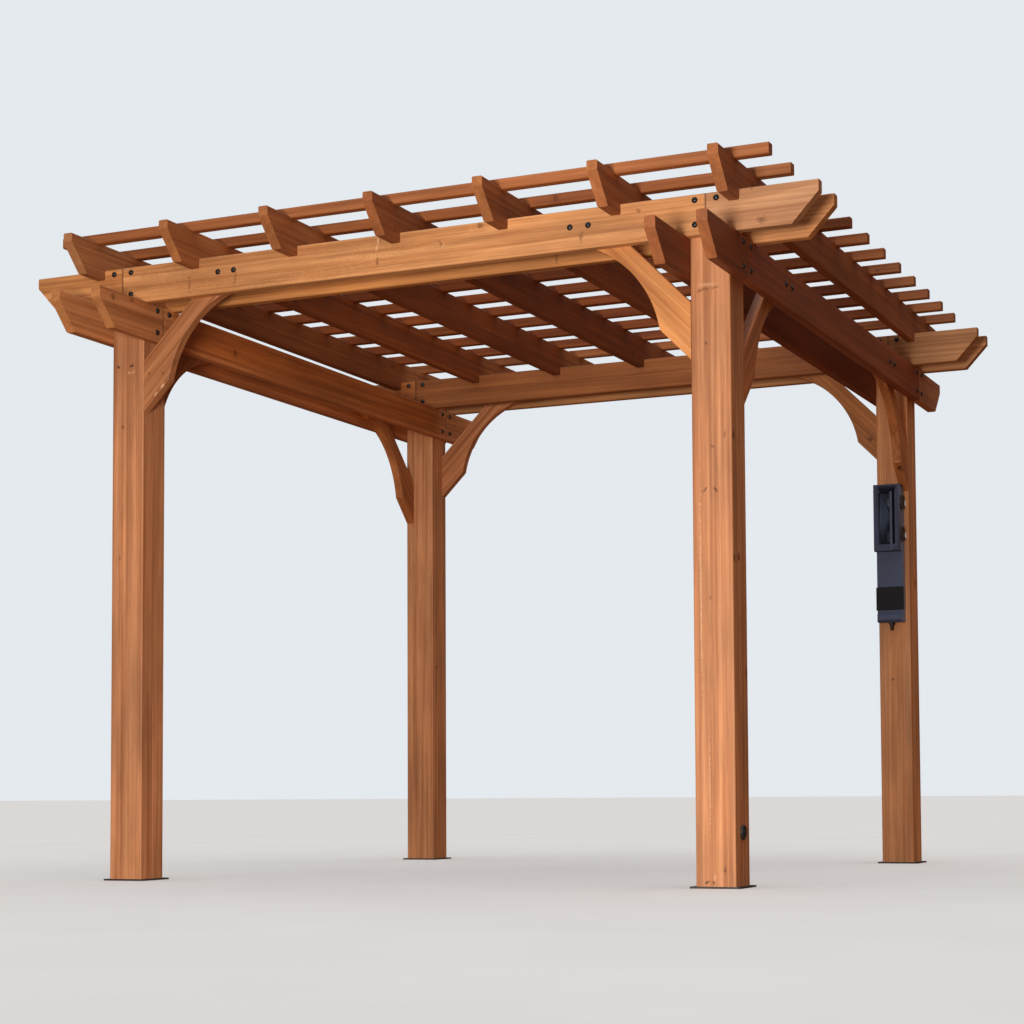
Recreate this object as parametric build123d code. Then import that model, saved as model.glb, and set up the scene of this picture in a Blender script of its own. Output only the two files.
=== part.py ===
from build123d import *
from math import sqrt
import os

# Wooden pergola: four posts, doubled beams both ways, notched rafters, roof slats and arched knee braces.
# Millimetres. X runs along the front, Y runs from front to back, Z is up.
# The origin is on the ground, at the middle of the four posts.

# Posts, each glued up from two halves
post_width = 140
post_spacing = 2340
post_top_drop = 6
post_edge = 5
seam_width = 4
seam_depth = 2

# Steel plates under the posts
plate_margin = 18
plate_thickness = 6
plate_corner = 8

# Boards
board_thickness = 38
beam_height = 138
rafter_height = 133
slat_width = 38
slat_height = 38
board_edge = 3

# Doubled beams: the side beams run front to back, and the cross beams rest on them
headroom = 2031
beam_overhang = 391
beam_nose = 39
end_cut = 92
splice_gap = 0.6

# Rafters
rafter_count = 7
rafter_from_beam_end = 292
rafter_overhang = 310
rafter_notch = 37
rafter_nose = 34
notch_clearance = 0.5

# Roof slats
slat_count = 12
slat_from_rafter_end = 171
slat_overhang = 140
slat_seat = 6

# Knee braces at 45 degrees, with a hollow arc in the lower edge
brace_width = 138
brace_drop = 214
brace_land = 112
brace_arc_radius = 400
brace_arc_depth = 74
brace_top_drop = 8
brace_edge = 2

# Power box on the front face of the right back post, hung just in front of the side brace's foot
box_top_above_brace_foot = 23
box_from_post_side = 20.5
box_width = 115
box_edge = 4
body_depth = 40
body_height = 307
sill_height = 37
sill_depth = 12
sill_edge = 10
lid_side_lap = 3
lid_height = 100
lid_depth = 6
lid_edge = 2
lid_from_base = 52
rib_height = 5
rib_depth = 5
rib_gap = 3
hood_depth = 85
hood_height = 290
hood_side_wall = 20
hood_top_wall = 30
hood_top_rim = 6
mouth_share = 0.5
mouth_flare = 10
hood_bottom_wall = 28
hood_back_wall = 5
hood_brace_gap = 2
fin_width = 10
fin_from_right_wall = 11
fin_proud = 3
fin_end_gap = 2
socket_radius = 32
socket_dish_radius = 25
socket_dish_depth = 2
socket_depth = 6
socket_edge = 2
socket_spacing = 138
gland_radius = 9
gland_length = 26
gland_nut_radius = 13
gland_nut_length = 9

# Round cap on the outer face of the right front post
cap_radius = 25
cap_depth = 5
cap_level = 183
cap_edge = 2

# Levels and places that follow
post_half = post_width / 2
brace_low_drop = brace_drop + brace_width * sqrt(2)
post_at = post_spacing / 2
post_face = post_at + post_half
inner_face = post_at - post_half
side_top = headroom + beam_height
cross_top = side_top + beam_height
post_top = cross_top - post_top_drop
rafter_bottom = cross_top - rafter_notch
rafter_top = rafter_bottom + rafter_height
slat_bottom = rafter_top - slat_seat
outer_beam = post_face + board_thickness / 2
inner_beam = inner_face - board_thickness / 2
beam_length = post_spacing + 2 * beam_overhang
rafter_length = post_spacing + 2 * rafter_overhang
rafter_end = beam_length / 2 - rafter_from_beam_end
slat_end = rafter_length / 2 - slat_from_rafter_end
hood_bottom = headroom - brace_low_drop + box_top_above_brace_foot - hood_height
box_bottom = hood_bottom - body_height
rows = {"front": -1, "back": 1}
sides = {"left": -1, "right": 1}

os.makedirs("parts", exist_ok=True)


def save(name, shape):
    export_step(shape, f"parts/{name}.step")


def evenly(count, end):
    """Places spread evenly from -end to end."""
    return [end * (2 * i / (count - 1) - 1) for i in range(count)]


rafter_places = evenly(rafter_count, rafter_end)
slat_places = evenly(slat_count, slat_end)


def post():
    """A glued post: eased corners, and a shallow seam down the middle of its two side faces."""
    height = post_top - plate_thickness
    blank = extrude(Rectangle(post_width, post_width), height)
    blank = fillet(blank.edges().filter_by(Axis.Z), post_edge)
    seam = Rectangle(seam_depth * 2, seam_width)
    for side in (-1, 1):
        blank -= extrude(Pos(side * post_half, 0) * seam, height)
    return Pos(0, 0, plate_thickness) * blank


def foot_plate():
    size = post_width + 2 * plate_margin
    return extrude(RectangleRounded(size, size, plate_corner), plate_thickness)


def board(plane, length, height, nose):
    """A board on edge, with an upright nose and a slanting cut under it at both ends."""
    end = length / 2
    outline = Polyline(
        (-end, height),
        (end, height),
        (end, height - nose),
        (end - end_cut, 0),
        (-end + end_cut, 0),
        (-end, height - nose),
        close=True,
    )
    blank = extrude(make_face(plane * outline), board_thickness / 2, both=True)
    along = Axis((0, 0, 0), tuple(plane.x_dir))
    return chamfer(blank.edges().filter_by(along), board_edge)


def beam(plane):
    """One beam in three lengths, butted over the middle of its two posts."""
    whole = board(plane, beam_length, beam_height, beam_nose)
    for end in (-1, 1):
        gap = Rectangle(splice_gap, 2 * beam_height)
        whole -= extrude(plane * Pos(end * post_at, beam_height / 2) * gap, board_thickness, both=True)
    return whole


def rafter():
    """A rafter, notched below over the four cross beams and above for the slats."""
    whole = Pos(0, 0, rafter_bottom) * board(Plane.YZ, rafter_length, rafter_height, rafter_nose)
    notch = Box(2 * board_thickness, board_thickness + 2 * notch_clearance, 2 * rafter_notch)
    for y in (-outer_beam, -inner_beam, inner_beam, outer_beam):
        whole -= Pos(0, y, rafter_bottom) * notch
    seat = Box(2 * board_thickness, slat_width + 2 * notch_clearance, 2 * slat_seat)
    for y in slat_places:
        whole -= Pos(0, y, rafter_top) * seat
    return whole


def slat():
    blank = Box(2 * (rafter_end + slat_overhang), slat_width, slat_height)
    blank = chamfer(blank.edges().filter_by(Axis.X), board_edge)
    return Pos(0, 0, slat_bottom + slat_height / 2) * blank


def brace(corner, inward, thickness_way):
    """A knee brace. It rises from the post's face at 45 degrees and ends between the two beams."""
    top = beam_height - brace_top_drop
    chord = 2 * sqrt(brace_arc_radius ** 2 - (brace_arc_radius - brace_arc_depth) ** 2)
    reach = chord / sqrt(2)
    hollow = brace_arc_depth / sqrt(2)
    arc_start = (brace_land, brace_land - brace_low_drop)
    arc_end = (arc_start[0] + reach, arc_start[1] + reach)
    arc_middle = (arc_start[0] + reach / 2 - hollow, arc_start[1] + reach / 2 + hollow)
    straight = Polyline(
        arc_start,
        (0, -brace_low_drop),
        (0, -brace_drop),
        (brace_drop + top, top),
        (brace_low_drop + top, top),
        arc_end,
    )
    arc = ThreePointArc(arc_end, arc_middle, arc_start)
    upright = Vector(inward).cross(Vector(0, 0, 1))
    plane = Plane(origin=corner, x_dir=inward, z_dir=tuple(upright))
    outline = make_face(plane * Wire([*straight.edges(), arc]))
    blank = extrude(outline, board_thickness, dir=thickness_way)
    slanting = blank.edges().filter_by(lambda edge: 0.1 < abs(edge.tangent_at(0.5).Z) < 0.9)
    return chamfer(slanting, brace_edge)


def box_at(z):
    """The middle of the power box's back, against the post, at a level."""
    return Pos(post_face - box_from_post_side - box_width / 2, inner_face, z)


def slab(width, depth, low, high):
    """A block from the post's face forward, between two levels."""
    return Pos(0, -depth / 2, (low + high) / 2) * Box(width, depth, high - low)


def box_body():
    """The lower housing: a chamfered sill along its bottom, and a rib above and below the lid."""
    block = slab(box_width, body_depth, 0, body_height)
    block = fillet(block.edges().filter_by(Axis.Z), box_edge)
    sill = slab(box_width, body_depth + sill_depth, 0, sill_height)
    block += chamfer(sill.faces().sort_by(Axis.Y)[0].edges(), sill_edge)
    under_lid = lid_from_base - rib_gap - rib_height
    over_lid = lid_from_base + lid_height + rib_gap
    for low in (under_lid, over_lid):
        block += slab(box_width - 2 * box_edge, body_depth + rib_depth, low, low + rib_height)
    return box_at(box_bottom) * block


def box_lid():
    """The plain lid on the lower housing, a little wider than the housing."""
    lid = Box(box_width + 2 * lid_side_lap, lid_depth, lid_height)
    lid = chamfer(lid.faces().sort_by(Axis.Y)[0].edges(), lid_edge)
    level = box_bottom + lid_from_base + lid_height / 2
    return box_at(level) * Pos(0, -body_depth - lid_depth / 2, 0) * lid


def brace_foot_room(corner, inward, thickness_way):
    """What a brace's foot fills near its post, with the hood's clearance under it and beside it."""
    low = -brace_low_drop - hood_brace_gap * sqrt(2)
    sky = low + hood_depth + hood_height
    upright = Vector(inward).cross(Vector(0, 0, 1))
    plane = Plane(origin=corner, x_dir=inward, z_dir=tuple(upright))
    wedge = make_face(plane * Polyline((0, low), (sky - low, sky), (0, sky), close=True))
    return extrude(wedge, board_thickness + hood_brace_gap, dir=thickness_way)


def box_hood():
    """The upper housing, a deep case with an open recess. Its ceiling slopes up to a thin rim, mitred at the right."""
    block = slab(box_width, hood_depth, 0, hood_height)
    block = fillet(block.edges().filter_by(Axis.Z), box_edge)
    recess = slab(
        box_width - 2 * hood_side_wall,
        2 * hood_depth,
        hood_bottom_wall,
        hood_height - hood_top_wall,
    )
    ceiling = hood_height - hood_top_wall
    rim = hood_height - hood_top_rim
    mouth_depth = mouth_share * hood_depth
    side_view = Polyline(
        (-2 * hood_depth, 0),
        (-2 * hood_depth, rim),
        (-hood_depth, rim),
        (mouth_depth - hood_depth, ceiling),
        (mouth_depth - hood_depth, 0),
        close=True,
    )
    inside = box_width / 2 - hood_side_wall
    front_view = Polyline(
        (-inside, ceiling), (-inside, rim), (inside + mouth_flare, rim), (inside, ceiling), close=True
    )
    mouth = extrude(make_face(Plane.YZ * side_view), box_width, both=True)
    mouth &= extrude(make_face(Plane.XZ * front_view), 2 * hood_depth)
    hood = box_at(hood_bottom) * (block - Pos(0, -hood_back_wall, 0) * recess - mouth)
    corner = (post_face, inner_face, headroom)
    return hood - brace_foot_room(corner, (0, -1, 0), (-1, 0, 0))


def box_fin():
    """The upright fin near the right side of the recess. Its front edge runs on down over the hood's bottom wall."""
    across = box_width / 2 - hood_side_wall - fin_from_right_wall - fin_width / 2
    blade = Pos(across, -hood_back_wall, 0) * slab(
        fin_width,
        hood_depth + fin_proud - hood_back_wall,
        hood_bottom_wall,
        hood_height - hood_top_wall - fin_end_gap,
    )
    lip = Pos(across, -hood_depth, 0) * slab(fin_width, fin_proud, fin_end_gap, 2 * hood_bottom_wall)
    return box_at(hood_bottom) * (blade + lip)


def box_side_sockets():
    """Two round socket covers on the right side of the hood, each with a shallow dish in its face."""
    cover = chamfer(Cylinder(socket_radius, socket_depth).faces().sort_by(Axis.Z)[-1].edges(), socket_edge)
    cover -= Pos(0, 0, socket_depth / 2) * Cylinder(socket_dish_radius, 2 * socket_dish_depth)
    cover = Pos(box_width / 2 + socket_depth / 2, -hood_depth / 2, hood_height / 2) * Rot(0, 90, 0) * cover
    pair = [Pos(0, 0, way * socket_spacing / 2) * cover for way in (-1, 1)]
    return box_at(hood_bottom) * Compound(pair)


def box_gland():
    """The cable gland under the power box: a hex nut and a tapering sleeve."""
    nut = extrude(RegularPolygon(gland_nut_radius, 6), -gland_nut_length)
    sleeve = Pos(0, 0, -gland_nut_length) * Rot(180, 0, 0) * extrude(Circle(gland_radius), gland_length, taper=8)
    return box_at(box_bottom) * Pos(0, -body_depth / 2, 0) * (nut + sleeve)


def post_cap():
    """The round cap on the right front post."""
    cap = chamfer(Cylinder(cap_radius, cap_depth).faces().sort_by(Axis.Z)[-1].edges(), cap_edge)
    return Pos(post_face + cap_depth / 2, -post_at, cap_level) * Rot(0, 90, 0) * cap


for row, y_way in rows.items():
    for side, x_way in sides.items():
        foot = Pos(x_way * post_at, y_way * post_at)
        save(f"{side}_{row}_post", foot * post())
        save(f"{side}_{row}_foot_plate", foot * foot_plate())
        cross_corner = (x_way * inner_face, y_way * post_face, side_top)
        save(f"{side}_{row}_cross_brace", brace(cross_corner, (-x_way, 0, 0), (0, -y_way, 0)))
        side_corner = (x_way * post_face, y_way * inner_face, headroom)
        save(f"{side}_{row}_side_brace", brace(side_corner, (0, -y_way, 0), (-x_way, 0, 0)))

cross_beam = beam(Plane.XZ)
for row, y_way in rows.items():
    save(f"{row}_outer_cross_beam", Pos(0, y_way * outer_beam, side_top) * cross_beam)
    save(f"{row}_inner_cross_beam", Pos(0, y_way * inner_beam, side_top) * cross_beam)

side_beam = beam(Plane.YZ)
for side, x_way in sides.items():
    save(f"{side}_outer_side_beam", Pos(x_way * outer_beam, 0, headroom) * side_beam)
    save(f"{side}_inner_side_beam", Pos(x_way * inner_beam, 0, headroom) * side_beam)

rafter_shape = rafter()
for number, x in enumerate(rafter_places, 1):
    save(f"rafter_{number}", Pos(x, 0, 0) * rafter_shape)

slat_shape = slat()
for number, y in enumerate(slat_places, 1):
    save(f"roof_slat_{number:02d}", Pos(0, y, 0) * slat_shape)

save("power_box_body", box_body())
save("power_box_hood", box_hood())
save("power_box_lid", box_lid())
save("power_box_fin", box_fin())
save("power_box_side_sockets", box_side_sockets())
save("power_box_gland", box_gland())
save("post_cap", post_cap())
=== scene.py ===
# %% [markdown]
# # A timber pergola, dressed in Blender
# The frame of the pergola is already cut: posts, beams, rafters, slats, knee braces and a power box come in
# as finished solids, in metres, standing on z = 0. This lesson gives them what a saw can't: stain, grain,
# knots, bolts, screws and light. The solids are loaded first, because every bolt and every colour hangs on
# them.

# %% Load the frame
import math
import random

import bpy
from mathutils import Matrix, Vector


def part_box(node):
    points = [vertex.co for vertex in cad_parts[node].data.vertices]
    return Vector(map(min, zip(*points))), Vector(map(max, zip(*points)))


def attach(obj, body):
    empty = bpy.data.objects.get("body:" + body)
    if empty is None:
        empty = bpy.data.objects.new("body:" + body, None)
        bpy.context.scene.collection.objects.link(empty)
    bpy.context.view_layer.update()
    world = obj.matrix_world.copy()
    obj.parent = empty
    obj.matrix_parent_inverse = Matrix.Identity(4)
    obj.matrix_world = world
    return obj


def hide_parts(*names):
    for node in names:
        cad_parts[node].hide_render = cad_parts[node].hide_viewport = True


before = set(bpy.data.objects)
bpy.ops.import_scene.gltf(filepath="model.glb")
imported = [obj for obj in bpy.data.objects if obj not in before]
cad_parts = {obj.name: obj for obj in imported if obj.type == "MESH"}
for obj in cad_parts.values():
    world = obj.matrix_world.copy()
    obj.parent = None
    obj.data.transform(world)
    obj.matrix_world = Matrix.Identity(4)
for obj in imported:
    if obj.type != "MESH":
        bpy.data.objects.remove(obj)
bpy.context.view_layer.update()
names = sorted(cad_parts)

# %% [markdown]
# ## Camera
# The pergola is seen from knee height, from just off its right front corner, so the view goes up into the
# roof. The camera could be aimed at a target, but a turn for each axis is easier to check: it is tipped up
# from looking straight down, turned to the left and rolled by a third of a degree. The lens is slid a little
# instead of tipped further, so the posts stay nearly parallel in the picture.

# %% Camera
EYE = (3.432, -7.551, 0.323)
TURN_LEFT = math.radians(23.218)
TIP_UP = math.radians(3.21)
ROLL = math.radians(-0.384)
SENSOR = 36.0
LENS = 71.4
SHIFT_X = -0.0762
SHIFT_Y = 0.1611

camera = bpy.data.objects.new("camera", bpy.data.cameras.new("camera"))
bpy.context.collection.objects.link(camera)
camera.data.sensor_width = SENSOR
camera.data.lens = LENS
camera.data.shift_x = SHIFT_X
camera.data.shift_y = SHIFT_Y
camera.matrix_world = (Matrix.Translation(EYE) @ Matrix.Rotation(TURN_LEFT, 4, "Z")
                       @ Matrix.Rotation(math.pi / 2 + TIP_UP, 4, "X") @ Matrix.Rotation(ROLL, 4, "Z"))
bpy.context.scene.camera = camera
print("camera looks along", [round(v, 3) for v in camera.matrix_world.to_3x3() @ Vector((0, 0, -1))])

# %% [markdown]
# ## Light
# Stained wood needs one clear direction of light, or its grain and its edges go flat. A soft round panel
# stands low in front, so the front faces glow, the right-hand faces and the undersides fall into shade, and
# the rafters throw soft shade up onto the slats behind their tails. A sun lamp would do it too, but a panel
# fades with distance, which sets the near corner off from the far one.

# %% Key light
KEY_PLACE = Vector((1.35, -6.3, 1.0))
KEY_TARGET = Vector((0.1, 0.0, 1.6))
KEY_SIZE = 1.4
KEY_POWER = 265.0
KEY_COLOUR = (1.0, 0.97, 0.93)

key = bpy.data.objects.new("key_light", bpy.data.lights.new("key_light", "AREA"))
bpy.context.collection.objects.link(key)
key.data.shape = "DISK"
key.data.size = KEY_SIZE
key.data.energy = KEY_POWER
key.data.color = KEY_COLOUR
key.location = KEY_PLACE
key.rotation_euler = (KEY_TARGET - KEY_PLACE).to_track_quat("-Z", "Y").to_euler()
key.visible_camera = False
print("key light is", round((KEY_TARGET - KEY_PLACE).length, 2), "m from the middle of the frame")

# %% [markdown]
# ## Shorthand for shader nodes
# Every finish below is a network of nodes, and wiring one by hand takes four lines. So short helpers come
# first: one adds a node and fills its inputs in order, one sets inputs by name, and the rest name the sums,
# mixes, smooth steps and noises that wood and coated metal are made of.

# %% Shorthand for shader nodes
def feed(tree, socket, value):
    """Sets an input to a value, or links another node's output to it. None leaves it as it is."""
    if isinstance(value, bpy.types.NodeSocket):
        tree.links.new(value, socket)
    elif value is not None:
        socket.default_value = value


def put(tree, kind, *values, **settings):
    """Adds a node, with its settings by name and its inputs in order."""
    node = tree.nodes.new("ShaderNode" + kind)
    for name, setting in settings.items():
        setattr(node, name, setting)
    for socket, value in zip(node.inputs, values):
        feed(tree, socket, value)
    return node


def fill(tree, node, values):
    """Sets or links inputs of a node by name."""
    for label, value in values.items():
        feed(tree, node.inputs[label], value)


def calc(tree, operation, *values):
    """One sum on numbers."""
    return put(tree, "Math", *values, operation=operation).outputs[0]


def times(tree, first, second):
    """The product of two numbers."""
    return calc(tree, "MULTIPLY", first, second)


def plus(tree, first, second):
    """The sum of two numbers."""
    return calc(tree, "ADD", first, second)


def move(tree, operation, *values):
    """One sum on vectors."""
    return put(tree, "VectorMath", *values, operation=operation).outputs["Vector"]


def rise(tree, value, low, high):
    """A smooth step: 0 at low, 1 at high, and the other way round if low is the larger."""
    return put(tree, "MapRange", value, low, high, 0.0, 1.0, interpolation_type="SMOOTHSTEP").outputs[0]


def spread(tree, value, low, high):
    """Turns 0 to 1 into low to high."""
    return put(tree, "MapRange", value, 0.0, 1.0, low, high).outputs[0]


def mix(tree, amount, first, second, way="MIX"):
    """Mixes two colours by the given amount."""
    node = put(tree, "Mix", data_type="RGBA", blend_type=way)
    for slot, value in ((0, amount), (6, first), (7, second)):
        feed(tree, node.inputs[slot], value)
    return node.outputs[2]


def shaded(tree, colour, shade):
    """Makes a colour darker under 1 and lighter over 1."""
    return mix(tree, 1.0, colour, put(tree, "CombineColor", shade, shade, shade).outputs[0], "MULTIPLY")


def noise(tree, place, stretch, detail=2.0, roughness=0.5):
    """Cloudy noise, stretch cycles a metre along each axis."""
    node = put(tree, "TexNoise", move(tree, "MULTIPLY", place, stretch))
    fill(tree, node, {"Scale": 1.0, "Detail": detail, "Roughness": roughness})
    return node.outputs


def parts_of(tree, vector):
    """The three parts of a vector."""
    return put(tree, "SeparateXYZ", vector).outputs


print("helpers ready")

# %% [markdown]
# ## Sky and backdrop
# The rest of the light comes from all round. An even sky would fill the roof with grey, so this one is dim
# and warm at the horizon and bright overhead. The horizon on the right is warmer still, as from an orange
# card held there, so the shaded sides keep a rich colour. From below comes a dim glow, the light that wood
# throws on wood. The backdrop that shows in the picture is plain and pale, as if it had lamps of its own.
# The view is set to Standard, so that the stain keeps the colours it is given.

# %% Sky and backdrop
SKY_AT_HORIZON = (0.150, 0.125, 0.105, 1.0)
SKY_ON_THE_RIGHT = (0.180, 0.075, 0.026, 1.0)
SKY_OVERHEAD = (1.50, 1.53, 1.56, 1.0)
GLOW_FROM_BELOW = (0.150, 0.066, 0.030, 1.0)
BACKDROP = (0.78, 0.82, 0.86, 1.0)

world = bpy.data.worlds.new("studio")
bpy.context.scene.world = world
world.use_nodes = True
tree = world.node_tree
way = put(tree, "TexCoord").outputs["Generated"]
rightward, _, height = parts_of(tree, way)
horizon = mix(tree, rise(tree, rightward, -0.2, 0.6), SKY_AT_HORIZON, SKY_ON_THE_RIGHT)
overhead = calc(tree, "POWER", calc(tree, "MAXIMUM", height, 0.0), 3.0)
sky = mix(tree, overhead, horizon, SKY_OVERHEAD)
sky = mix(tree, rise(tree, height, -0.05, 0.05), GLOW_FROM_BELOW, sky)
sky = mix(tree, put(tree, "LightPath").outputs["Is Camera Ray"], sky, BACKDROP)
feed(tree, tree.nodes["Background"].inputs["Color"], sky)
bpy.context.scene.view_settings.view_transform = "Standard"
print("overhead the sky is", round(SKY_OVERHEAD[1] / SKY_AT_HORIZON[1], 1), "times as bright as low down")

# %% [markdown]
# ## How wood is made
# A board is a slice of a tree, so the grain on every face is one pattern in three dimensions, cut by the
# face. Planks could be painted with stripes, but then an edge never matches its face. Here each board has
# its own frame: the third axis runs along the grain and the origin lies on the pith, somewhere beside the
# board. The rings are then the distance from that axis, made to wander by a slow noise, and they come out as
# straight lines, as arches or as arcs on the end, depending on where the saw went.

# %% Rings round the pith
RING_TAPER = 0.012


def grown_point(tree, place, seed):
    """The point in the straight tree that this point of the wandering grain came from."""
    salted = move(tree, "ADD", place, seed)
    slow = noise(tree, salted, (2.4, 2.4, 0.6), detail=1.0)["Color"]
    quick = noise(tree, salted, (17.0, 17.0, 3.2), detail=1.0)["Color"]
    half = (0.5, 0.5, 0.5)
    slow = move(tree, "MULTIPLY", move(tree, "SUBTRACT", slow, half), (0.05, 0.05, 0.0))
    quick = move(tree, "MULTIPLY", move(tree, "SUBTRACT", quick, half), (0.005, 0.005, 0.0))
    return move(tree, "ADD", move(tree, "ADD", place, slow), quick)


def long_side(tree, first, second):
    """The long side of a right-angled triangle."""
    return calc(tree, "SQRT", plus(tree, times(tree, first, first), times(tree, second, second)))


def round_the_pith(tree, point):
    """The distance from the pith, the angle round it and the height along it."""
    first, second, height = parts_of(tree, point)
    return long_side(tree, first, second), calc(tree, "ARCTAN2", second, first), height


print("rings taper by", RING_TAPER * 1000, "mm a metre")

# %% [markdown]
# Knots are branches, and a branch grows straight out from the pith. So they are scattered over the angle
# and the height, not over the face: one knot then comes out on both faces of a board, as in real timber.
# Each gets its own size by chance, and some come out so small that they don't show.

# %% Knots
KNOTS_ROUND = 0.9
KNOTS_A_METRE = 1.5
KNOT_RADIUS = 0.008
KNOT_SQUASH = 0.72
SMALLEST_KNOT = 0.0003


def knots(tree, radius, angle, height, seed, amount):
    """How far each point is from the nearest knot's middle, in radii of that knot."""
    cell = (times(tree, angle, KNOTS_ROUND), times(tree, height, KNOTS_A_METRE))
    cell = move(tree, "ADD", put(tree, "CombineXYZ", *cell).outputs[0], seed)
    scatter = put(tree, "TexVoronoi", cell, voronoi_dimensions="2D")
    fill(tree, scatter, {"Scale": 1.0})
    gap = parts_of(tree, move(tree, "SUBTRACT", cell, scatter.outputs["Position"]))
    across = times(tree, calc(tree, "DIVIDE", gap[0], KNOTS_ROUND), radius)
    along = calc(tree, "DIVIDE", gap[1], KNOTS_A_METRE / KNOT_SQUASH)
    distance = long_side(tree, across, along)
    chance = put(tree, "TexWhiteNoise", scatter.outputs["Position"], noise_dimensions="2D").outputs["Value"]
    size = times(tree, rise(tree, chance, 0.50, 1.0), times(tree, amount, KNOT_RADIUS))
    return calc(tree, "DIVIDE", distance, plus(tree, size, SMALLEST_KNOT))


print("about", KNOTS_A_METRE, "places for a knot in each metre")

# %% [markdown]
# The colour is built up as the stain is: a middle tone, paler bands of several rings together, a thin dark
# line where each year's growth ends, long streaks, fine fibre, pale sapwood in a few boards, then the knots
# with their broken dark rims. Sawn ends are lighter or darker than the sides of their board, and sharp edges
# lose their stain first. The same fibre and ring lines go to the roughness and to a shallow relief, so the
# wood also feels grained where light grazes it.

# %% One shared recipe for stained timber
KNOT_HEART = (0.155, 0.050, 0.017, 1.0)
KNOT_RIM = (0.060, 0.020, 0.008, 1.0)
SAPWOOD = (0.62, 0.31, 0.155, 1.0)
TIMBER_INPUTS = {
    "Place": "Vector", "Facing": "Vector", "Seed": "Vector", "Pale": "Color", "Middle": "Color",
    "Dark": "Color", "Ring": "Float", "Sapwood": "Float", "Knots": "Float", "Joint": "Float",
    "Cut": "Color",
}
TIMBER_OUTPUTS = {"Color": "Color", "Roughness": "Float", "Height": "Float"}
SWIRL = 1.7
BANDS_A_YEAR = 0.23
PALE_BANDS = 0.55
PALE_YEARS = 0.3
YEAR_LINES = (0.05, 0.26)
STREAKS = ((0.51, 0.64, 0.90, "Pale"), (0.48, 0.34, 0.45, "Dark"))
STREAKS_ON_ENDS = 0.3
KNOT_LAYERS = (0.22, 0.60, 0.85)
WORN_EDGES = 0.40
BUTT_DARK = 0.60


def ring_lines(tree, radius, height, swirl, ring, seed):
    """The dark line that ends each year, each year's own tone, and wide bands of years."""
    lean = times(tree, height, RING_TAPER)
    years = calc(tree, "DIVIDE", plus(tree, radius, lean), ring)
    years = plus(tree, years, times(tree, swirl, SWIRL))
    salt = parts_of(tree, seed)[0]
    part = calc(tree, "FRACT", years)
    line = times(tree, rise(tree, part, 0.35, 0.93), rise(tree, part, 1.0, 0.95))
    year = plus(tree, calc(tree, "FLOOR", years), salt)
    tone = put(tree, "TexWhiteNoise", None, year, noise_dimensions="1D").outputs["Value"]
    years = plus(tree, times(tree, years, BANDS_A_YEAR), salt)
    return line, tone, put(tree, "TexNoise", None, years, 1.0, noise_dimensions="1D").outputs[0]


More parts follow.
